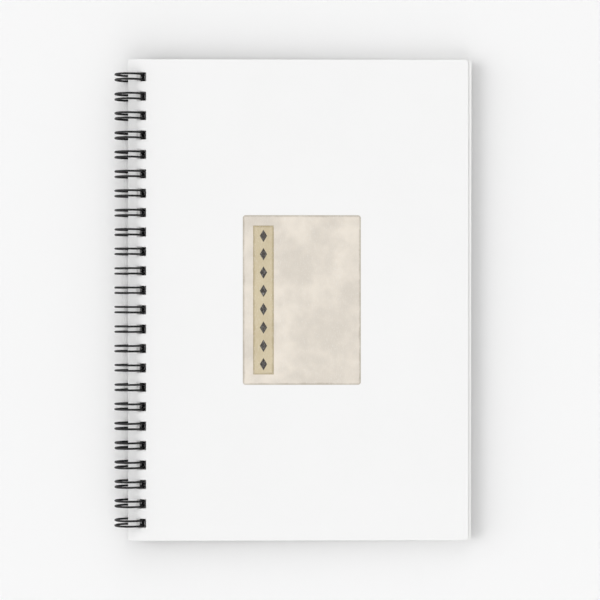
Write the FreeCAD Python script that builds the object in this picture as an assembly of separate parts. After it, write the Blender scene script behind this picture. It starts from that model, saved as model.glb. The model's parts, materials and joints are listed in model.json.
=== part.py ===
import FreeCAD, Part
import math
import os

# Spiral notebook, A5, bound along its long left side by a twin-loop wire.
# Millimetres. Each piece is drawn in the ring frame: the ring axis, which every loop of the wire goes
# round, lies along Y through the origin, +X runs to the fore-edge and +Z out of the front cover.
# lay_down then tips the whole notebook until it lies as it does on a table.

# Leaves and covers
page_width = 149.0
page_height = 210.0
cover_width = 148.5
leaf_count = 48
leaf_pitch = 0.11  # one leaf with the air above it
cover_thickness = 0.45
corner_radius = 1.4

# Wire: pairs of strands, one pair through each hole. It is drawn in straight facets, small enough to
# read as round: so many about the wire itself, about a full ring, and about a quarter of each bend.
wire_diameter = 0.9
wire_facets = 6
ring_facets = 16
bend_facets = 2
pair_spacing = 2.35  # between the centre lines of a pair
loop_pitch = 25.4 / 3
cut_end_length = 0.8  # straight stub after the bend where the wire is cut off

# Punched holes
hole_margin = 3.78  # from a sheet's spine edge to its holes
hole_width = 4.0  # across the spine
hole_end_margin = 5.0  # least distance from the head or tail to a hole

# Clearances
ring_to_cover = 0.15  # a cover's spine edge stands this far to the right of the ring axis
ring_clearance = 0.08  # between a hole's spine wall and the inside of a loop
hole_side_clearance = 0.375  # between a pair of strands and the hole's head and tail walls
seam_clearance = 0.15  # above and below the closing seam of the wire, and between its two sides
settle_length = 14.0  # over which the leaves come down again beside the seam

# Print on the front cover: fields of colour, each a film of ink
panel_width = 51.5
panel_height = 74.0
panel_offset = 1.45  # from the middle of the cover towards the fore-edge
panel_corner = 1.2
band_width = 9.0
band_inset = 4.5  # of the band from three sides of the panel
lozenge_width = 3.2
lozenge_height = 5.4
lozenge_pitch = 8.0
ink_thickness = 0.05

# Heights, measured from the middle of the stack
block_half = leaf_count * leaf_pitch / 2
cover_outside = block_half + cover_thickness

# Holes and loops. The wall between a hole and the spine edge hangs inside the loop, and a leaf slides
# along its hole until that wall meets the curve of the wire: leaves in the middle of the stack stand
# further out than the covers do, along a circle of wall_radius.
hole_height = pair_spacing + wire_diameter + 2 * hole_side_clearance
hole_left = ring_to_cover + hole_margin
wall_radius = math.hypot(hole_left, cover_outside)
wire_radius = wire_diameter / 2
ring_step = 2 * math.pi / ring_facets
ring_inside = wall_radius + ring_clearance
ring_radius = (ring_inside + wire_radius) / math.cos(ring_step / 2)  # to the corners of the centre line
ring_outside = (ring_inside + wire_diameter) / math.cos(ring_step / 2)
loop_count = int((page_height - hole_height - 2 * hole_end_margin) // loop_pitch) + 1
loop_places = [(i - (loop_count - 1) / 2) * loop_pitch for i in range(loop_count)]

# The closing seam lies between the last leaf and the back cover. Its straight stretches join each
# loop to the next, and the U-shaped tip of each loop stops just short of them.
base_bend = wire_diameter
base_height = -block_half + seam_clearance + wire_radius
base_reach = math.hypot(ring_radius, base_bend)
base_angle = math.asin(base_height / base_reach)
leg_angle = base_angle + math.atan2(base_bend, ring_radius)
tip_bend = pair_spacing / 2
bends = tip_bend + base_bend
tip_gap = math.sqrt((bends + wire_diameter + seam_clearance) ** 2 - bends ** 2) - bends
tip_angle = base_angle - math.atan2(tip_bend, ring_radius) - tip_gap / ring_radius
seam_ceiling = base_height + wire_radius + seam_clearance
settle_start = wall_radius + hole_width

# Lying down: the lowest corners of the loops and the back cover's far edge both meet the table.
cover_far = ring_to_cover + cover_width
tilt = math.atan2(ring_outside - cover_outside, cover_far)
ring_height = ring_outside * math.cos(tilt)
fore_edge_centre = page_width - hole_margin
middle = (fore_edge_centre * math.cos(tilt) + wall_radius - ring_height) / 2


def point(x, z, y=0.0):
    return FreeCAD.Vector(x, y, z)


def line(a, b):
    return Part.LineSegment(a, b).toShape()


def arc(a, through, b):
    return Part.Arc(a, through, b).toShape()


def on_circle(centre_x, radius, height):
    """The point to the right of a centre on the ring plane, at a height on a circle round it."""
    return point(centre_x + math.sqrt(radius ** 2 - height ** 2), height)


def bulge(centre_x, low, high):
    """The edge that the shifted leaves form between two heights, from low to high."""
    half = (low + high) / 2
    through = on_circle(centre_x, wall_radius, half)
    return arc(on_circle(centre_x, wall_radius, low), through, on_circle(centre_x, wall_radius, high))


def along_spine(edges, length):
    """A closed outline in the XZ plane, drawn out to a length centred on Y = 0."""
    face = Part.Face(Part.Wire(edges))
    solid = face.extrude(FreeCAD.Vector(0, length, 0))
    solid.translate(FreeCAD.Vector(0, -length / 2, 0))
    return solid


def sheet(left, right, height, radius, bottom, thickness):
    """A flat sheet with round corners, centred on Y = 0."""
    solid = Part.makeBox(right - left, height, thickness, FreeCAD.Vector(left, -height / 2, bottom))
    upright = [edge for edge in solid.Edges if abs(edge.tangentAt(edge.FirstParameter).z) > 0.5]
    return solid.makeFillet(radius, upright)


def cover(bottom):
    """A cover from its lower face up, with its row of square holes."""
    card = sheet(ring_to_cover, cover_far, page_height, corner_radius, bottom, cover_thickness)
    size = FreeCAD.Vector(hole_width, hole_height, cover_thickness)
    holes = [
        Part.makeBox(size.x, size.y, size.z, FreeCAD.Vector(hole_left, y - hole_height / 2, bottom))
        for y in loop_places
    ]
    return card.cut(holes)


def settling_curve():
    """The underside beside the seam: two equal arcs, level at both ends."""
    drop = seam_ceiling + block_half
    radius = (settle_length ** 2 + drop ** 2) / (4 * drop)
    half_turn = math.asin(settle_length / 2 / radius) / 2
    across = radius * math.sin(half_turn)
    down = radius * (1 - math.cos(half_turn))
    start = point(settle_start, seam_ceiling)
    end = point(settle_start + settle_length, -block_half)
    middle_point = (start + end) / 2
    first = arc(start, start + point(across, -down), middle_point)
    second = arc(middle_point, end + point(-across, down), end)
    return [first, second]


def page_block():
    """All leaves as one solid: bulging edges, a raised underside at the seam, and holes that follow the wire."""
    spine = bulge(-hole_margin, seam_ceiling, block_half)
    fore_edge = bulge(fore_edge_centre, -block_half, block_half)
    curve = settling_curve()
    spine_low = on_circle(-hole_margin, wall_radius, seam_ceiling)
    spine_high = on_circle(-hole_margin, wall_radius, block_half)
    fore_low = on_circle(fore_edge_centre, wall_radius, -block_half)
    fore_high = on_circle(fore_edge_centre, wall_radius, block_half)
    outline = [
        line(spine_low, point(settle_start, seam_ceiling)),
        *curve,
        line(point(settle_start + settle_length, -block_half), fore_low),
        fore_edge,
        line(fore_high, spine_high),
        spine,
    ]
    block = along_spine(outline, page_height)
    corners = [edge for edge in block.Edges if is_leaf_corner(edge)]
    block = block.makeFillet(corner_radius, corners)
    hole = along_spine(hole_outline(), hole_height)
    return block.cut([hole.translated(FreeCAD.Vector(0, y, 0)) for y in loop_places])


def is_leaf_corner(edge):
    """True for the four curved edges where the spine or fore-edge meets the head or tail."""
    return isinstance(edge.Curve, Part.Circle) and math.isclose(edge.Curve.Radius, wall_radius)


def hole_outline():
    """A hole through the block: both its walls step sideways with the leaves."""
    top = block_half + cover_thickness / 2
    left_low = on_circle(0, wall_radius, -top)
    left_high = on_circle(0, wall_radius, top)
    across = point(hole_width, 0)
    return [
        bulge(0, -top, top),
        line(left_high, left_high + across),
        bulge(hole_width, -top, top),
        line(left_low + across, left_low),
    ]


def ring_point(angle, y):
    return point(ring_radius * math.cos(angle), ring_radius * math.sin(angle), y)


def ring_direction(angle):
    """Along the wire at an angle round the ring, the way that the angle grows."""
    return point(-math.sin(angle), math.cos(angle))


def quarter(centre, first, last):
    """Points of a quarter bend, from centre + first to centre + last."""
    turns = [math.pi / 2 * i / bend_facets for i in range(bend_facets + 1)]
    return [centre + first * math.cos(turn) + last * math.sin(turn) for turn in turns]


def strand(y):
    """One strand, from its leg at the seam round to its tip, with corners at even steps round the ring."""
    end = tip_angle + 2 * math.pi
    steps = range(math.ceil(leg_angle / ring_step), math.floor(end / ring_step) + 1)
    return [ring_point(angle, y) for angle in [leg_angle, *(i * ring_step for i in steps), end]]


def loop_points(y):
    """One loop: up from the seam, round the ring, through the U of its tip and back beside itself."""
    low = y - tip_bend
    high = y + tip_bend
    outwards = FreeCAD.Vector(0, base_bend, 0)
    down = ring_direction(leg_angle) * -base_bend
    onwards = ring_direction(tip_angle) * tip_bend
    across = FreeCAD.Vector(0, tip_bend, 0)
    tip_centre = ring_point(tip_angle, y)
    rise = quarter(ring_point(leg_angle, low) - outwards, down, outwards)
    tip = quarter(tip_centre, -across, onwards) + quarter(tip_centre, onwards, across)[1:]
    fall = quarter(ring_point(leg_angle, high) + outwards, -outwards, down)
    return rise[:-1] + strand(low) + tip[1:-1] + strand(high)[::-1] + fall[1:]


def wire_points():
    """The whole wire: loops joined by the straight stretches of the seam, and a stub at each cut end."""
    points = [corner for y in loop_places for corner in loop_points(y)]
    stub = FreeCAD.Vector(0, cut_end_length, 0)
    return [points[0] - stub, *points, points[-1] + stub]


def mitred_sections(points, first_section):
    """The section carried along a line of straight runs, cut at each corner on the plane that halves the turn."""
    sections = [first_section]
    for before, here, after in zip(points, points[1:], points[2:] + [None]):
        along = (here - before).normalize()
        onward = (after - here).normalize() if after else along
        normal = along + onward
        reach = along.dot(normal)
        sections.append([p + along * ((here - p).dot(normal) / reach) for p in sections[-1]])
    return sections


def flat_face(corners):
    return Part.Face(Part.makePolygon([*corners, corners[0]]))


def wire_binding():
    points = wire_points()
    outwards = ring_point(leg_angle, 0).normalize() * wire_radius
    beside = FreeCAD.Vector(0, 1, 0).cross(outwards)
    turns = [2 * math.pi * i / wire_facets for i in range(wire_facets)]
    first = [points[0] + outwards * math.cos(turn) + beside * math.sin(turn) for turn in turns]
    sections = mitred_sections(points, first)
    faces = [flat_face(sections[0]), flat_face(sections[-1])]
    for near, far in zip(sections, sections[1:]):
        corners = zip(near, near[1:] + near[:1], far[1:] + far[:1], far)
        faces += [flat_face(four) for four in corners]
    shell = Part.makeShell(faces)
    shell.sewShape()
    return Part.Solid(shell)


def ink(left, right, bottom, top):
    """A plain rectangle of ink on the front cover."""
    corner = FreeCAD.Vector(left, bottom, cover_outside)
    return Part.makeBox(right - left, top - bottom, ink_thickness, corner)


def lozenge(x, y):
    """A diamond-shaped mark, centred on x and y."""
    half_width, half_height = lozenge_width / 2, lozenge_height / 2
    around = [(half_width, 0), (0, half_height), (-half_width, 0), (0, -half_height), (half_width, 0)]
    corners = [FreeCAD.Vector(x + dx, y + dy, cover_outside) for dx, dy in around]
    return Part.Face(Part.makePolygon(corners)).extrude(FreeCAD.Vector(0, 0, ink_thickness))


def cover_print():
    """A pale panel with a band down its spine side, and a row of lozenges down the band."""
    centre = ring_to_cover + cover_width / 2 + panel_offset
    left = centre - panel_width / 2
    panel = sheet(left, left + panel_width, panel_height, panel_corner, cover_outside, ink_thickness)
    band_half = panel_height / 2 - band_inset
    band_left = left + band_inset
    band = ink(band_left, band_left + band_width, -band_half, band_half)
    count = int((2 * band_half - lozenge_height) // lozenge_pitch) + 1
    places = [(i - (count - 1) / 2) * lozenge_pitch for i in range(count)]
    marks = [lozenge(band_left + band_width / 2, y) for y in places]
    return {
        "printed_panel": panel.cut(band),
        "printed_band": band.cut(marks),
        "printed_marks": Part.makeCompound(marks),
    }


def lay_down(shape):
    """From the ring frame to the part's own: on the table, with the origin under the middle."""
    laid = shape.copy()
    laid.rotate(FreeCAD.Vector(0, 0, 0), FreeCAD.Vector(0, 1, 0), math.degrees(tilt))
    laid.translate(FreeCAD.Vector(-middle, 0, ring_height))
    return laid


pieces = {
    "front_cover": cover(block_half),
    "back_cover": cover(-cover_outside),
    "page_block": page_block(),
    "wire_binding": wire_binding(),
    **cover_print(),
}

os.makedirs("parts", exist_ok=True)
for name, piece in pieces.items():
    laid = lay_down(piece)
    laid.exportStep(f"parts/{name}.step")
    box = laid.BoundBox
    print(name, "solids", len(laid.Solids), "valid", laid.isValid(), "volume", round(laid.Volume, 2))
    print("  from", [round(n, 3) for n in (box.XMin, box.YMin, box.ZMin)])
    print("  to", [round(n, 3) for n in (box.XMax, box.YMax, box.ZMax)])
print("loops", loop_count, "ring radius", round(ring_radius, 3), "tilt", round(math.degrees(tilt), 3))
print("ring axis at x", round(-middle, 4), "z", round(ring_height, 4))
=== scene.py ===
import json
import math

import bpy
import numpy as np
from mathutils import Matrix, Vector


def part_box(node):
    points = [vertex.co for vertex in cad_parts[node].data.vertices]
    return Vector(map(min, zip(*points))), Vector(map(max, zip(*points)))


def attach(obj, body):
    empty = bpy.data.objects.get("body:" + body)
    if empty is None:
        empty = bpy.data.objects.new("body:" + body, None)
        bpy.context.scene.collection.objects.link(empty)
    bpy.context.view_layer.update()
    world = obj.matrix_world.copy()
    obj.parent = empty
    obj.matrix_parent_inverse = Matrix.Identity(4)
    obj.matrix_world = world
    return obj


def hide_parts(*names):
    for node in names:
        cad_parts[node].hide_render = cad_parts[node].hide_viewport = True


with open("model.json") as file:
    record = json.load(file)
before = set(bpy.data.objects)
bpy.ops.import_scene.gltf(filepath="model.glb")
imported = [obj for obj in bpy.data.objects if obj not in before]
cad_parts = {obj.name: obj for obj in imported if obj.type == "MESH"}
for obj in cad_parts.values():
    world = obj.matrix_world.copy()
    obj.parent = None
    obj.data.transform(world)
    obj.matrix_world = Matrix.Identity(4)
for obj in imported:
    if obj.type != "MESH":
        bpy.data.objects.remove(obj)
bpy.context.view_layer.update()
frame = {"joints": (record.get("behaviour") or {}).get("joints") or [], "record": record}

# The notebook's own sizes, in millimetres. Pieces are worked out in the ring frame: the ring axis lies
# along Y through the origin, +X runs to the fore-edge and +Z out of the front cover.
MM = 0.001  # metres in a millimetre
cover_width = 148.5
leaf_reach = 1.5  # how far the leaves, as wide as the covers, are slid out past their fore-edge
leaf_count = 48
leaf_pitch = 0.11
leaf_share = 0.93  # of a leaf's pitch that is paper, the rest being air
cover_thickness = 0.45
corner_radius = 1.4
edge_softness = 0.07  # rounding along the cut edges of a cover
wire_diameter = 0.9
pair_spacing = 2.35  # between the middles of a loop's two strands
loop_pitch = 25.4 / 3
cut_end_length = 0.8
hole_margin = 3.78  # from the spine edge of a sheet to its holes
hole_width = 4.0  # across the spine
hole_end_margin = 5.0  # the least that is left between a hole and the head or tail
hole_side_clearance = 0.375  # beside the strands
ring_to_cover = 0.15  # from the ring axis to the spine edge of the covers
seam_clearance = 0.15  # round the seam, where the ends of the loops meet
settle_length = 14.0  # over which the leaves come down from the seam to the back cover
loop_shift = 0.6  # how far the middle of the loops lies from the hinge axis, towards the fore-edge
loop_half_width = 6.2  # to the middle of the wire; the loops are a little wider than high

# The printed fields on the front cover
panel_width = 51.5
panel_height = 74.0
panel_offset = 1.45
panel_corner = 1.2
band_width = 9.0
band_inset = 4.5
lozenge_width = 3.2
lozenge_height = 5.4
lozenge_pitch = 8.0
film_thickness = 0.02
tone_width = 1.1  # of the darker tone along the sides of a field
tone_stray = 1.4  # how ragged that tone is

# How far the real thing strays from the drawing
leaf_slide = 0.10  # most that a leaf lies back from the foremost
leaf_skew = 0.35  # how much further back the leaves lie at the tail than at the head
leaf_stray = 0.12  # most that a leaf stands out at the head or tail
leaf_seed = 48  # of the chance amounts of the leaves
loop_lean = 0.09  # most that a loop leans sideways at its outer side
loop_twist = 0.07  # most that chance turns a loop's halves apart, and that the drift along the spine adds
loop_swell = 0.06  # most that a loop bellies out from the spine, before the oval widens it
loop_seed = 24  # of the chance amounts of the loops

# How finely the surfaces are divided
cover_corner_cells = 5
leaf_corner_cells = 2
leaf_settling_cells = 5
wire_sides = 14
bend_points = 9
strand_points = 72
field_corner_cells = 4
field_cells = 6, 8  # across and along
lozenge_points = 7
table_sides = 48

# Stage, light and camera
light_width = 60  # degrees, as seen from the table
backdrop_tone = 0.94
focal_length = 124.2
sensor_width = 36
camera_reach = 75.1  # from the ring axis towards the fore-edge
camera_height = 0.9114  # metres

# Worked out from the sizes above and from the frame
cover_low, cover_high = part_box("front_cover")
page_height = (cover_high.y - cover_low.y) / MM
block_half = leaf_count * leaf_pitch / 2
cover_outside = block_half + cover_thickness
hole_height = pair_spacing + wire_diameter + 2 * hole_side_clearance
hole_left = ring_to_cover + hole_margin
loop_count = int((page_height - hole_height - 2 * hole_end_margin) // loop_pitch) + 1
loop_places = (np.arange(loop_count) - (loop_count - 1) / 2) * loop_pitch
wire_radius = wire_diameter / 2
seam_height = -block_half + seam_clearance + wire_radius
seam_ceiling = seam_height + wire_radius + seam_clearance
settle_start = hole_left + leaf_reach + hole_width


def ring_axis():
    """The ring axis, and how far the closed notebook is tipped about it. It lies on its loops and on the
    fore-edge of its back cover."""
    axis = np.array(frame["joints"][0]["pos_m"])
    tail = next(mount for mount in frame["record"]["mounts"] if mount["name"] == "tail_edge")
    reach = np.array(tail["pos_m"]) - axis
    return axis, math.atan2(-reach[2], reach[0])


axis_place, tilt = ring_axis()
ring_radius = axis_place[2] / MM - wire_radius  # the loops stand on the table


def lay_down(x, y, z):
    """From the ring frame in millimetres to the part's frame in metres: a turn by tilt about Y, and then a
    shift."""
    x, y, z = np.broadcast_arrays(x, y, z)
    across = x * math.cos(tilt) + z * math.sin(tilt)
    up = z * math.cos(tilt) - x * math.sin(tilt)
    return np.stack([across, y, up], axis=-1) * MM + axis_place


# Meshes


def grid_faces(rows, columns, closed=False):
    """Four-sided faces between neighbouring rows and columns of a grid of points, stored row by row."""
    row = np.arange(rows - 1)[:, None]
    column = np.arange(columns if closed else columns - 1)[None, :]
    following = (column + 1) % columns
    corners = [
        row * columns + column,
        row * columns + following,
        (row + 1) * columns + following,
        (row + 1) * columns + column,
    ]
    return np.stack(np.broadcast_arrays(*corners), axis=-1).reshape(-1, 4)


def make_piece(name, points, faces, materials, body, replaced, second=None):
    """An object from laid points and faces, which moves with a body and stands for a node of the frame.
    The faces marked in second take the second material."""
    mesh = bpy.data.meshes.new(name)
    mesh.from_pydata(points.reshape(-1, 3).tolist(), [], faces)
    for material in materials:
        mesh.materials.append(material)
    if second is not None:
        mesh.polygons.foreach_set("material_index", second.astype(np.int32))
    piece = bpy.data.objects.new(name, mesh)
    bpy.context.scene.collection.objects.link(piece)
    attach(piece, body)
    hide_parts(replaced)
    return piece


def close_sheet(faces, size):
    """Faces of a solid sheet, from the faces of its upper side. Its upper points come first and its lower
    points follow after size of them: the lower side is the upper one turned over, and a wall joins the two
    along every edge that only one face of the upper side has. Also says which faces are walls."""
    edges = np.stack([faces, np.roll(faces, -1, axis=1)], axis=-1).reshape(-1, 2)
    pair = edges.min(axis=1) * size + edges.max(axis=1)
    first, uses = np.unique(pair, return_index=True, return_counts=True)[1:]
    start, end = edges[first[uses == 1]].T
    walls = np.stack([end, start, start + size, end + size], axis=-1)
    closed = np.concatenate([faces, faces[:, ::-1] + size, walls])
    return closed, np.arange(len(closed)) >= 2 * len(faces)


def soften(piece, width):
    """Rounds the cut edges and keeps the flat faces shaded flat."""
    piece.data.shade_smooth()
    rounding = piece.modifiers.new("softened_edges", "BEVEL")
    rounding.width = width * MM
    rounding.segments = 2
    rounding.limit_method = "ANGLE"
    rounding.angle_limit = math.radians(40)
    rounding.harden_normals = True


def spaced(ends, cells):
    """Places of grid lines: the stretch between each two ends is cut into so many equal cells."""
    stretches = [np.linspace(a, b, n, endpoint=False) for a, b, n in zip(ends, ends[1:], cells)]
    return np.append(np.concatenate(stretches), ends[-1])


def round_corners(x, y, width, height, radius):
    """Bends the square corners of a grid into quarter discs. With u and v the reach into a corner square in
    shares of the radius, u becomes u * sqrt(1 - v^2 / 2) and v becomes v * sqrt(1 - u^2 / 2)."""
    inner_x = np.clip(x, radius, width - radius)
    inner_y = np.clip(y, radius - height / 2, height / 2 - radius)
    u = (x - inner_x) / radius
    v = (y - inner_y) / radius
    return inner_x + radius * u * np.sqrt(1 - v**2 / 2), inner_y + radius * v * np.sqrt(1 - u**2 / 2)


def punched_grid(width, corner_cells, settling_cells=1):
    """A flat sheet as a grid of lines along its edges and holes, measured from its spine edge and its middle.
    The cells at the holes are left out and the corners are rounded."""
    hole_end = hole_margin + hole_width
    settle_end = hole_end + settle_length
    column_ends = [0, corner_radius, hole_margin, hole_end, settle_end, width - corner_radius, width]
    columns = spaced(column_ends, [corner_cells, 1, 1, settling_cells, 2, corner_cells])
    hole_ends = (loop_places[:, None] + np.array([-1, 1]) * hole_height / 2).ravel()
    half = page_height / 2
    row_ends = [-half, corner_radius - half, *hole_ends, half - corner_radius, half]
    rows = spaced(row_ends, [corner_cells] + [1] * (len(row_ends) - 3) + [corner_cells])
    x, y = np.meshgrid(columns, rows)
    faces = grid_faces(len(rows), len(columns))
    middle_x = x.ravel()[faces].mean(axis=1)
    middle_y = y.ravel()[faces].mean(axis=1)
    at_hole = np.abs(middle_x - hole_margin - hole_width / 2) < hole_width / 2
    from_loop = np.abs(middle_y[:, None] - loop_places).min(axis=1)
    kept = faces[~(at_hole & (from_loop < hole_height / 2))]
    x, y = round_corners(x, y, width, page_height, corner_radius)
    return x, y, kept


def make_cover(name, bottom, materials, body, replaced):
    """A flat sheet of card with its holes, from a height up, measured from the middle of the stack."""
    x, y, faces = punched_grid(cover_width, cover_corner_cells)
    heights = np.array([bottom + cover_thickness, bottom])[:, None, None]
    points = lay_down(x + ring_to_cover, y, heights)
    closed, walls = close_sheet(faces, x.size)
    cover = make_piece(name, points, closed.tolist(), materials, body, replaced, walls)
    soften(cover, edge_softness)


def underside(x):
    """Height of the lowest leaf: over the seam of the wire near the spine, and then down to the back cover
    in a smooth step, 3 t^2 - 2 t^3 of the drop at a share t of the settling length."""
    t = np.clip((x - settle_start) / settle_length, 0, 1)
    return seam_ceiling - (seam_ceiling + block_half) * (3 * t**2 - 2 * t**3)


def name_points(piece, name, values):
    """A named value at each point of a piece, for its materials to read."""
    attribute = piece.data.attributes.new(name, "FLOAT", "POINT")
    attribute.data.foreach_set("value", values.astype(np.float32))


def spread_out(rng, most, count):
    """Small chance amounts about 0, never more than most, shaped to go with a grid of points each."""
    return rng.normal(0, most / 2, count).clip(-most, most)[:, None, None]


def make_leaves(materials):
    """All leaves in one mesh. The height between the underside and the front cover is shared out evenly, and
    each leaf fills leaf_share of its part. The leaves are slid towards the fore-edge and lie nearly flush
    there: each is back by a little of its own, and by leaf_skew at the tail, going to nothing at the head.
    Each point also holds the tone of its leaf, and a 1 if it lies by the holes, where the walls take painted
    shade."""
    rng = np.random.default_rng(leaf_seed)
    x, y, faces = punched_grid(cover_width, leaf_corner_cells, leaf_settling_cells)
    leaf = np.arange(leaf_count)[:, None, None, None]
    share = (leaf + 0.5 + np.array([0.5, -0.5])[:, None, None] * leaf_share) / leaf_count
    slide = rng.uniform(0, leaf_slide, leaf_count)[:, None, None, None]
    stray = spread_out(rng, leaf_stray, leaf_count)[:, None]
    slide = slide + leaf_skew * (0.5 - y / page_height)
    leaf_x = x + ring_to_cover + leaf_reach - slide
    low = underside(leaf_x)
    height = low + share * (block_half - low)
    points = lay_down(leaf_x, y + stray, height)
    closed, walls = close_sheet(faces, x.size)
    all_faces = (closed[None] + np.arange(leaf_count)[:, None, None] * 2 * x.size).reshape(-1, 4)
    all_walls = np.tile(walls, leaf_count)
    leaves = make_piece(
        "leaves", points, all_faces.tolist(), materials, "binding", "page_block", all_walls
    )
    name_points(leaves, "leaf_tone", np.repeat(rng.random(leaf_count), 2 * x.size))
    across_holes = np.abs(x - hole_margin - hole_width / 2) < hole_width
    along_holes = np.abs(y) < loop_places[-1] + hole_height
    # marks the points by the holes, whose walls take painted shade
    name_points(leaves, "hole_shade_mask", np.tile((across_holes & along_holes).ravel(), 2 * leaf_count))


def loop_pattern():
    """Half of one loop, as a flat hairpin before it is rolled up: how far along the ring from the seam, and
    how far across from the loop's middle. A quarter bend leaves the seam, a straight strand runs round, and
    a quarter bend of half the pair's spacing closes the tip just short of the seam."""
    base_bend = wire_diameter
    tip_bend = pair_spacing / 2
    bends = tip_bend + base_bend
    tip_gap = math.sqrt((bends + wire_diameter + seam_clearance) ** 2 - bends**2) - bends
    tip_centre = 2 * math.pi * ring_radius - tip_bend - tip_gap
    turn = np.linspace(0, math.pi / 2, bend_points)
    rise = base_bend * (1 - np.cos(turn)), -tip_bend - base_bend * (1 - np.sin(turn))
    strand = np.linspace(base_bend, tip_centre, strand_points)[1:-1]
    tip = tip_centre + tip_bend * np.sin(turn), -tip_bend * np.cos(turn)
    along = np.concatenate([rise[0], strand, tip[0]])
    across = np.concatenate([rise[1], np.full_like(strand, -tip_bend), tip[1]])
    return along, across


def wire_path():
    """The middle line of the wire. The row of hairpins is rolled into an oval: a point so far along the
    pattern turns through that length over the ring radius, and lies at loop_shift + loop_half_width * cos
    across and ring radius * sin up. Loops lean, twist and swell a little on the side away from the leaves,
    by amounts that vanish inside the holes."""
    rng = np.random.default_rng(loop_seed)
    along, across = loop_pattern()
    along = np.concatenate([along, along[-2::-1]])
    across = np.concatenate([across, -across[-2::-1]])
    seam_angle = math.asin(seam_height / ring_radius)
    angle = np.tile(seam_angle + along / ring_radius, (loop_count, 1))
    outer = ((1 - np.cos(angle)) / 2) ** 2
    drift = np.linspace(-1, 1, loop_count)[:, None]
    lean = spread_out(rng, loop_lean, loop_count)[:, 0]
    twist = spread_out(rng, loop_twist, loop_count)[:, 0]
    swell = spread_out(rng, loop_swell, loop_count)[:, 0]
    y = loop_places[:, None] + across + lean * outer + (twist + loop_twist * drift) * outer * np.sin(angle)
    swollen = 1 + np.abs(swell) * outer**2 / ring_radius
    x = loop_shift + loop_half_width * swollen * np.cos(angle)
    z = ring_radius * swollen * np.sin(angle)
    path = np.stack([x, y, z], axis=-1).reshape(-1, 3)
    stub = np.array([0, cut_end_length, 0])
    return np.concatenate([path[:1] - stub, path, path[-1:] + stub])


def unit(vectors):
    """The same directions, each one long."""
    return vectors / np.linalg.norm(vectors, axis=-1, keepdims=True)


def make_wire(materials):
    """The wire: a circle carried along its middle line. At each point the circle stands square to the line,
    and starts from the direction away from the ring axis, so the tube never turns about itself."""
    path = wire_path()
    runs = unit(np.diff(path, axis=0))
    along = unit(np.concatenate([runs[:1], runs[:-1] + runs[1:], runs[-1:]]))
    outwards = path * np.array([1, 0, 1])
    outwards = unit(outwards - along * (outwards * along).sum(axis=1, keepdims=True))
    beside = np.cross(along, outwards)
    turn = np.linspace(0, 2 * math.pi, wire_sides, endpoint=False)[None, :, None]
    points = path[:, None] + wire_radius * (outwards[:, None] * np.cos(turn) + beside[:, None] * np.sin(turn))
    faces = grid_faces(len(path), wire_sides, closed=True).tolist()
    first_cap = list(range(wire_sides))[::-1]
    last_cap = list(range((len(path) - 1) * wire_sides, len(path) * wire_sides))
    laid = lay_down(points[..., 0], points[..., 1], points[..., 2])
    caps = np.arange(len(faces) + 2) >= len(faces)
    faces += [first_cap, last_cap]
    wire = make_piece("loop_wire", laid, faces, materials, "binding", "wire_binding", caps)
    wire.data.polygons.foreach_set("use_smooth", ~caps)


def print_places():
    """The middle of the panel, the middle of the band across the spine, and the places of the lozenges."""
    centre = ring_to_cover + cover_width / 2 + panel_offset
    band_centre = centre - panel_width / 2 + band_inset + band_width / 2
    band_height = panel_height - 2 * band_inset
    count = int((band_height - lozenge_height) // lozenge_pitch) + 1
    return centre, band_centre, band_height, (np.arange(count) - (count - 1) / 2) * lozenge_pitch


def make_field(name, centre, width, height, corner, layer, material, slot, replaced):
    """A printed rectangle, with rounded corners if corner isn't 0: a thin film that lies on the layer of
    print below it."""
    cells = field_corner_cells if corner else 1
    inset = corner or min(width, height) / 4
    row_ends = [-height / 2, inset - height / 2, height / 2 - inset, height / 2]
    columns = spaced([0, inset, width - inset, width], [cells, field_cells[0], cells])
    rows = spaced(row_ends, [cells, field_cells[1], cells])
    x, y = np.meshgrid(columns, rows)
    if corner:
        x, y = round_corners(x, y, width, height, corner)
    heights = cover_outside + film_thickness * np.array([layer + 1, layer])[:, None, None]
    points = lay_down(x + centre - width / 2, y, heights)
    faces = close_sheet(grid_faces(len(rows), len(columns)), x.size)[0].tolist()
    make_piece(name, points, faces, [material], "front_cover", replaced)


def make_lozenges(centre, places, material):
    """The row of marks. With u and v from -1 to 1, a mark is (u + v) / 2 of its half width across and
    (v - u) / 2 of its half height along, so the square grid stands on its corner."""
    steps = np.linspace(-1, 1, lozenge_points)
    u, v = np.meshgrid(steps, steps)
    x = centre + (u + v) / 2 * lozenge_width / 2
    y = (v - u) / 2 * lozenge_height / 2 + places[:, None, None, None]
    heights = cover_outside + film_thickness * np.array([3, 2])[:, None, None]
    closed = close_sheet(grid_faces(len(steps), len(steps)), u.size)[0]
    faces = (closed[None] + np.arange(len(places))[:, None, None] * 2 * u.size).reshape(-1, 4).tolist()
    points = lay_down(x, y, heights)
    make_piece("lozenges", points, faces, [material], "front_cover", "printed_marks")


# Shader building


def add(tree, kind, settings=None, **sockets):
    """A node with its settings, and with values or other nodes' outputs on its named inputs. A name such as
    _6 stands for the input of that number, counted from 0."""
    node = tree.nodes.new(kind)
    for key, value in (settings or {}).items():
        setattr(node, key, value)
    for key, value in sockets.items():
        socket = node.inputs[int(key[1:])] if key[0] == "_" else node.inputs[key.replace("_", " ")]
        if isinstance(value, bpy.types.NodeSocket):
            tree.links.new(value, socket)
        else:
            socket.default_value = value
    return node


def calculate(tree, operation, *values):
    """One sum on numbers or outputs."""
    sockets = {f"_{i}": value for i, value in enumerate(values)}
    return add(tree, "ShaderNodeMath", {"operation": operation}, **sockets).outputs[0]


def tinted(tree, share, plain, other):
    """A colour that goes from plain to other with a share."""
    mix = add(tree, "ShaderNodeMix", {"data_type": "RGBA"}, Factor=share, _6=plain, _7=other)
    return mix.outputs[2]


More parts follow.
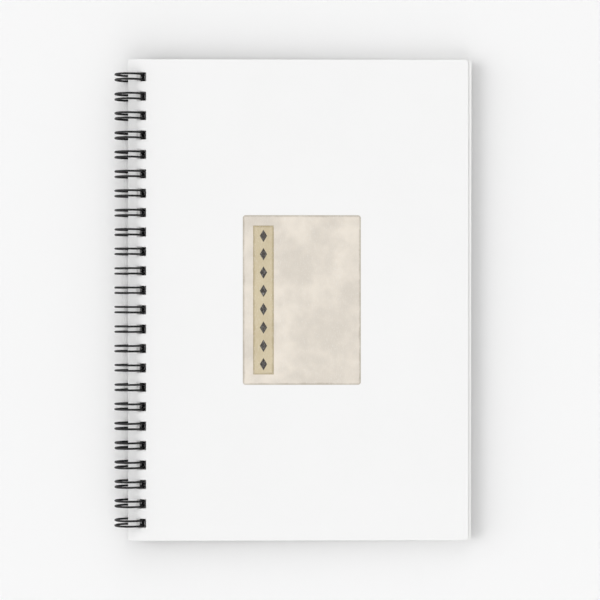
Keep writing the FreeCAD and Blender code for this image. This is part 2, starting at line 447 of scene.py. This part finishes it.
def ramp(tree, value, low, high, start=0.0, end=1.0):
    """A share that climbs from start to end while the value goes from low to high."""
    settings = {"interpolation_type": "SMOOTHSTEP"}
    sockets = {"Value": value, "From_Min": low, "From_Max": high, "To_Min": start, "To_Max": end}
    return add(tree, "ShaderNodeMapRange", settings, **sockets).outputs["Result"]


def new_group(name, inputs, outputs):
    """An empty node group with named inputs and outputs, each with its kind and first value."""
    group = bpy.data.node_groups.new(name, "ShaderNodeTree")
    for key, kind, value in inputs:
        socket = group.interface.new_socket(name=key, in_out="INPUT", socket_type=kind)
        if value is not None:
            socket.default_value = value
    for key in outputs:
        group.interface.new_socket(name=key, in_out="OUTPUT", socket_type="NodeSocketFloat")
    return group, group.nodes.new("NodeGroupInput"), group.nodes.new("NodeGroupOutput")


def paper_fibre_group():
    """The tooth of paper: short fibres that cross at two slants over a fine grain, and slow clouds in the
    pulp. Fibre Size is a fibre's width in metres."""
    inputs = [
        ("Vector", "NodeSocketVector", None),
        ("Fibre Size", "NodeSocketFloat", 0.0001),
        ("Cloud Size", "NodeSocketFloat", 0.02),
    ]
    group, inside, outside = new_group("paper_fibre", inputs, ["Tooth", "Cloud"])
    place = inside.outputs["Vector"]
    fine = calculate(group, "DIVIDE", 1.0, inside.outputs["Fibre Size"])
    layers = []
    for slant, stretch in ((0.6, 0.14), (-0.9, 0.18)):
        turned = add(group, "ShaderNodeMapping", Vector=place, Rotation=(0, 0, slant), Scale=(1, stretch, 1))
        sockets = {"Vector": turned.outputs[0], "Scale": fine, "Detail": 1.0, "Roughness": 0.6}
        noise = add(group, "ShaderNodeTexNoise", **sockets)
        layers.append(noise.outputs["Fac"])
    grain = add(group, "ShaderNodeTexNoise", Vector=place, Scale=fine, Detail=2.0)
    half_fibres = calculate(group, "MULTIPLY", calculate(group, "MAXIMUM", *layers), 0.5)
    tooth = calculate(group, "MULTIPLY_ADD", grain.outputs["Fac"], 0.5, half_fibres)
    broad = calculate(group, "DIVIDE", 1.0, inside.outputs["Cloud Size"])
    cloud = add(group, "ShaderNodeTexNoise", Vector=place, Scale=broad, Detail=3.0, Roughness=0.55)
    group.links.new(tooth, outside.inputs["Tooth"])
    group.links.new(cloud.outputs["Fac"], outside.inputs["Cloud"])
    return group


def field_edge_group():
    """How far a point of a printed field is inside its nearest side, made ragged by a soft noise. The vector
    is measured from the middle of the field."""
    inputs = [
        ("Vector", "NodeSocketVector", None),
        ("Half Width", "NodeSocketFloat", 0.02),
        ("Half Height", "NodeSocketFloat", 0.03),
        ("Raggedness", "NodeSocketFloat", 0.001),
    ]
    group, inside, outside = new_group("field_edge", inputs, ["Depth"])
    place = inside.outputs["Vector"]
    parts = add(group, "ShaderNodeSeparateXYZ", Vector=place)
    across = calculate(group, "ABSOLUTE", parts.outputs["X"])
    along = calculate(group, "ABSOLUTE", parts.outputs["Y"])
    from_side = calculate(group, "SUBTRACT", inside.outputs["Half Width"], across)
    from_end = calculate(group, "SUBTRACT", inside.outputs["Half Height"], along)
    nearest = calculate(group, "MINIMUM", from_side, from_end)
    noise = add(group, "ShaderNodeTexNoise", Vector=place, Scale=170.0, Detail=4.0, Roughness=0.6)
    stray = calculate(group, "SUBTRACT", noise.outputs["Fac"], 0.5)
    depth = calculate(group, "MULTIPLY_ADD", stray, inside.outputs["Raggedness"], nearest)
    group.links.new(depth, outside.inputs["Depth"])
    return group


paper_fibre = paper_fibre_group()
field_edge = field_edge_group()


def new_material(name, **fixed):
    """A material with its Principled shader, and the object's own coordinates to draw on."""
    material = bpy.data.materials.new(name)
    material.use_nodes = True
    tree = material.node_tree
    shader = tree.nodes["Principled BSDF"]
    for key, value in fixed.items():
        shader.inputs[key.replace("_", " ")].default_value = value
    place = add(tree, "ShaderNodeTexCoord").outputs["Object"]
    return material, tree, shader, place


def relief(tree, shader, height, depth):
    """Bumps up to a depth in metres, from a height of 0 to 1."""
    bump = add(tree, "ShaderNodeBump", Strength=1.0, Distance=depth, Height=height)
    tree.links.new(bump.outputs["Normal"], shader.inputs["Normal"])


def fibres(tree, place, fibre_size, cloud_size):
    """The paper group, placed in a material."""
    sockets = {"Vector": place, "Fibre_Size": fibre_size, "Cloud_Size": cloud_size}
    return add(tree, "ShaderNodeGroup", {"node_tree": paper_fibre}, **sockets).outputs


def card_face():
    """Smooth white board with a satin calendered face."""
    material, tree, shader, place = new_material("white_card", Specular_IOR_Level=0.35)
    paper = fibres(tree, place, 0.00022, 0.035)
    colour = tinted(tree, paper["Cloud"], (0.908, 0.908, 0.906, 1), (0.935, 0.935, 0.933, 1))
    tree.links.new(colour, shader.inputs["Base Color"])
    tree.links.new(ramp(tree, paper["Tooth"], 0.3, 0.7, 0.44, 0.58), shader.inputs["Roughness"])
    relief(tree, shader, paper["Tooth"], 0.000006)
    return material


def cut_card():
    """The cut edge of the board: rougher, and a little greyer where the knife opened the pulp."""
    material, tree, shader, place = new_material("card_edge", Specular_IOR_Level=0.2)
    paper = fibres(tree, place, 0.00009, 0.006)
    colour = tinted(tree, paper["Tooth"], (0.82, 0.816, 0.805, 1), (0.93, 0.928, 0.92, 1))
    tree.links.new(colour, shader.inputs["Base Color"])
    tree.links.new(ramp(tree, paper["Tooth"], 0.3, 0.7, 0.75, 0.95), shader.inputs["Roughness"])
    relief(tree, shader, paper["Tooth"], 0.00003)
    return material


def back_board(name, light):
    """Dark grey board, dyed through: a dull face with pale flecks of pulp. A light above 1 is for where it is
    cut."""
    material, tree, shader, place = new_material(name, Specular_IOR_Level=0.3)
    paper = fibres(tree, place, 0.00025, 0.03)
    dark = (0.045 * light, 0.046 * light, 0.048 * light, 1)
    pale = (0.066 * light, 0.067 * light, 0.069 * light, 1)
    colour = tinted(tree, paper["Cloud"], dark, pale)
    fleck = ramp(tree, paper["Tooth"], 0.64, 0.76, 0.0, 0.25)
    tree.links.new(tinted(tree, fleck, colour, (0.3, 0.3, 0.3, 1)), shader.inputs["Base Color"])
    tree.links.new(ramp(tree, paper["Tooth"], 0.3, 0.7, 0.62, 0.8), shader.inputs["Roughness"])
    relief(tree, shader, paper["Tooth"], 0.00001)
    return material


def leaf_face():
    """Uncoated writing paper: matte, faintly warm, with visible tooth."""
    material, tree, shader, place = new_material("leaf_paper", Specular_IOR_Level=0.2)
    paper = fibres(tree, place, 0.00016, 0.02)
    colour = tinted(tree, paper["Cloud"], (0.93, 0.928, 0.917, 1), (0.955, 0.953, 0.944, 1))
    tree.links.new(colour, shader.inputs["Base Color"])
    tree.links.new(ramp(tree, paper["Tooth"], 0.3, 0.7, 0.8, 0.95), shader.inputs["Roughness"])
    relief(tree, shader, paper["Tooth"], 0.000012)
    return material


def leaf_edge():
    """The trimmed edges of the leaves: each leaf a shade of its own, with the streaks of the knife. The walls
    of the holes are greyed with painted shade, which stands for the shade deep inside the holes."""
    material, tree, shader, place = new_material("leaf_edges", Specular_IOR_Level=0.15, Roughness=0.9)
    own = add(tree, "ShaderNodeAttribute", {"attribute_name": "leaf_tone"}).outputs["Fac"]
    paper = fibres(tree, place, 0.0002, 0.012)
    shade = calculate(tree, "MULTIPLY_ADD", own, 0.65, calculate(tree, "MULTIPLY", paper["Cloud"], 0.35))
    trimmed = tinted(tree, shade, (0.88, 0.876, 0.862, 1), (0.955, 0.952, 0.94, 1))
    # painted shade: the hole walls are greyed to stand for the shade deep inside the holes
    painted_hole_shade = tinted(tree, shade, (0.45, 0.45, 0.447, 1), (0.62, 0.618, 0.61, 1))
    hole_shade_mask = add(tree, "ShaderNodeAttribute", {"attribute_name": "hole_shade_mask"}).outputs["Fac"]
    tree.links.new(tinted(tree, hole_shade_mask, trimmed, painted_hole_shade), shader.inputs["Base Color"])
    relief(tree, shader, paper["Tooth"], 0.00002)
    return material


def wire_coating():
    """Black nylon-like coating on steel: glossy, faintly dimpled, dulled where the loops are handled."""
    material, tree, shader, place = new_material("black_coating", Specular_IOR_Level=0.16)
    dimples = add(tree, "ShaderNodeTexNoise", Vector=place, Scale=2600.0, Detail=2.0)
    handled = add(tree, "ShaderNodeTexNoise", Vector=place, Scale=240.0, Detail=3.0, Roughness=0.6)
    colour = tinted(tree, handled.outputs["Fac"], (0.010, 0.010, 0.0104, 1), (0.022, 0.022, 0.0225, 1))
    tree.links.new(colour, shader.inputs["Base Color"])
    dull = ramp(tree, handled.outputs["Fac"], 0.35, 0.7, 0.34, 0.48)
    tree.links.new(dull, shader.inputs["Roughness"])
    relief(tree, shader, dimples.outputs["Fac"], 0.000008)
    return material


def sheared_steel():
    """Bare steel at the two cut ends of the wire, with the marks of the cutter."""
    material, tree, shader, place = new_material("sheared_steel", Metallic=1.0)
    marks = add(tree, "ShaderNodeTexWave", Vector=place, Scale=1500.0, Distortion=3.0, Detail=2.0)
    colour = tinted(tree, marks.outputs["Fac"], (0.32, 0.31, 0.3, 1), (0.58, 0.57, 0.56, 1))
    tree.links.new(colour, shader.inputs["Base Color"])
    tree.links.new(ramp(tree, marks.outputs["Fac"], 0, 1, 0.3, 0.5), shader.inputs["Roughness"])
    relief(tree, shader, marks.outputs["Fac"], 0.00001)
    return material


def printed(name, colour, cloudy, toned, centre, width, height):
    """Matte ink on the cover: clouded, speckled by the tooth of the card, and toned along the field's
    sides."""
    material, tree, shader, place = new_material(name, Specular_IOR_Level=0.25)
    middle = lay_down(np.array(centre), np.array(0.0), np.array(cover_outside))
    settings = {"vector_type": "TEXTURE"}
    sockets = {"Vector": place, "Location": tuple(middle), "Rotation": (0, tilt, 0)}
    field_place = add(tree, "ShaderNodeMapping", settings, **sockets).outputs[0]
    half_size = {"Half_Width": width / 2 * MM, "Half_Height": height / 2 * MM}
    sockets = {"Vector": field_place, **half_size, "Raggedness": tone_stray * MM}
    edge = add(tree, "ShaderNodeGroup", {"node_tree": field_edge}, **sockets).outputs["Depth"]
    paper = fibres(tree, place, 0.00025, 0.014)
    clouded = tinted(tree, ramp(tree, paper["Cloud"], 0.3, 0.7), colour, cloudy)
    near_side = ramp(tree, edge, 0.0, tone_width * MM, 0.75, 0.0)
    inked = tinted(tree, near_side, clouded, toned)
    speckle = ramp(tree, paper["Tooth"], 0.54, 0.72, 0.0, 0.55)
    tree.links.new(tinted(tree, speckle, inked, (0.9, 0.88, 0.84, 1)), shader.inputs["Base Color"])
    tree.links.new(ramp(tree, paper["Tooth"], 0.3, 0.7, 0.55, 0.75), shader.inputs["Roughness"])
    relief(tree, shader, paper["Tooth"], 0.000008)
    return material


def cream_ink(centre):
    """Warm cream with grey-brown clouds, and a brown tone along its sides."""
    plain = (0.85, 0.782, 0.69, 1)
    cloudy = (0.704, 0.647, 0.57, 1)
    toned = (0.40, 0.34, 0.27, 1)
    return printed("cream_print", plain, cloudy, toned, centre, panel_width, panel_height)


def tan_ink(centre, height):
    """Yellow-brown tan, darker along its sides."""
    plain = (0.66, 0.57, 0.39, 1)
    cloudy = (0.60, 0.51, 0.34, 1)
    toned = (0.38, 0.30, 0.18, 1)
    return printed("tan_print", plain, cloudy, toned, centre, band_width, height)


def charcoal_ink(centre, height):
    """Warm near-black."""
    plain = (0.045, 0.04, 0.037, 1)
    cloudy = (0.07, 0.062, 0.056, 1)
    toned = (0.05, 0.045, 0.04, 1)
    return printed("charcoal_print", plain, cloudy, toned, centre, band_width, height)


def seen_plainly(tree):
    """1 for a ray from the camera, or by way of a gloss or a glass, and 0 for the light that a surface
    gives."""
    ray = add(tree, "ShaderNodeLightPath").outputs
    bounced = calculate(tree, "MAXIMUM", ray["Is Glossy Ray"], ray["Is Transmission Ray"])
    return calculate(tree, "MAXIMUM", ray["Is Camera Ray"], bounced)


def table_top():
    """The pale table under the notebook. It shows a pale colour, and gives less than that back as light, so
    that what stands on it isn't lit from below."""
    material, tree, shader, place = new_material("table_top", Specular_IOR_Level=0.1, Roughness=0.8)
    cloud = add(tree, "ShaderNodeTexNoise", Vector=place, Scale=3.0, Detail=2.0)
    pale = tinted(tree, cloud.outputs["Fac"], (0.93, 0.93, 0.93, 1), (0.95, 0.95, 0.95, 1))
    tree.links.new(tinted(tree, seen_plainly(tree), (0.5, 0.5, 0.5, 1), pale), shader.inputs["Base Color"])
    return material


# Stage, light and camera


def lay_table():
    """A wide flat table at height 0: rings of points round the origin, with radii that double outwards."""
    radii = np.array([0.0001, 0.5, 1, 2, 4, 8, 16])[:, None]
    turn = np.linspace(0, 2 * math.pi, table_sides, endpoint=False)[None, :]
    points = np.stack([radii * np.cos(turn), radii * np.sin(turn), 0 * radii * turn], axis=-1)
    mesh = bpy.data.meshes.new("table")
    faces = grid_faces(len(radii), turn.size, closed=True)[:, ::-1].tolist()
    mesh.from_pydata(points.reshape(-1, 3).tolist(), [], faces + [list(range(turn.size))])
    mesh.materials.append(table_top())
    table = bpy.data.objects.new("table", mesh)
    bpy.context.scene.collection.objects.link(table)


def broad_light(name, around, height, share):
    """A wide soft light at a height in degrees, a turn anticlockwise from the fore-edge side, that gives a
    share of all the light on the table: a sun's energy over pi, times the sine of its height."""
    height = math.radians(height)
    sun = bpy.data.lights.new(name, "SUN")
    sun.energy = math.pi * share / math.sin(height)
    sun.angle = math.radians(light_width)
    lamp = bpy.data.objects.new(name, sun)
    lamp.rotation_euler = (0, math.pi / 2 - height, math.radians(around))
    bpy.context.scene.collection.objects.link(lamp)


def hang_lights():
    """The broad lights at the spine, the tail and the head, by the turn, the height and the share of each.
    Gives the share of the light that is left over."""
    lights = {
        "spine_light_low": (180, 27, 0.26),
        "spine_light_high": (180, 50, 0.06),
        "tail_light_low": (270, 28, 0.12),
        "tail_light_high": (270, 52, 0.04),
        "head_light_low": (90, 28, 0.10),
        "head_light_high": (90, 52, 0.04),
    }
    for name, (around, height, share) in lights.items():
        broad_light(name, around, height, share)
    return 1 - sum(share for around, height, share in lights.values())


def pitch_tent(tent_share):
    """A tent of soft light that takes the share left over, so that a colour renders about as it is written.
    Its strength is 3 * share * (1 - rise), with rise the upward part of a direction, so it is brightest at
    the table's level. What looks at it plainly sees the backdrop's tone."""
    world = bpy.data.worlds.new("tent")
    world.use_nodes = True
    bpy.context.scene.world = world
    tree = world.node_tree
    direction = add(tree, "ShaderNodeTexCoord").outputs["Generated"]
    rise = add(tree, "ShaderNodeSeparateXYZ", Vector=direction).outputs["Z"]
    fade = add(tree, "ShaderNodeMapRange", Value=rise, To_Min=3 * tent_share, To_Max=0.0).outputs["Result"]
    sockets = {"Factor": seen_plainly(tree), "_2": fade, "_3": backdrop_tone}
    strength = add(tree, "ShaderNodeMix", {"data_type": "FLOAT"}, **sockets).outputs[0]
    tree.nodes["Background"].inputs["Color"].default_value = (1, 1, 1, 1)
    tree.links.new(strength, tree.nodes["Background"].inputs["Strength"])


def place_camera():
    """Straight above the notebook, with the head of the book up in the picture."""
    lens = bpy.data.cameras.new("camera")
    lens.lens = focal_length
    lens.sensor_width = sensor_width
    camera = bpy.data.objects.new("camera", lens)
    camera.location = (axis_place[0] + camera_reach * MM, 0, camera_height)
    bpy.context.scene.collection.objects.link(camera)
    bpy.context.scene.camera = camera


card = [card_face(), cut_card()]
board = [back_board("back_board", 1.0), back_board("back_board_edge", 1.6)]
make_cover("front_card", block_half, card, "front_cover", "front_cover")
make_cover("back_card", -cover_outside, board, "back_cover", "back_cover")
make_leaves([leaf_face(), leaf_edge()])
make_wire([wire_coating(), sheared_steel()])

panel_centre, band_centre, band_height, lozenge_places = print_places()
cream = cream_ink(panel_centre)
tan = tan_ink(band_centre, band_height)
charcoal = charcoal_ink(band_centre, band_height)
panel = panel_centre, panel_width, panel_height, panel_corner
band = band_centre, band_width, band_height, 0
make_field("panel_print", *panel, 0, cream, "cream_ink", "printed_panel")
make_field("band_print", *band, 1, tan, "tan_ink", "printed_band")
make_lozenges(band_centre, lozenge_places, charcoal)

lay_table()
pitch_tent(hang_lights())
place_camera()
bpy.context.scene.view_settings.view_transform = "Standard"
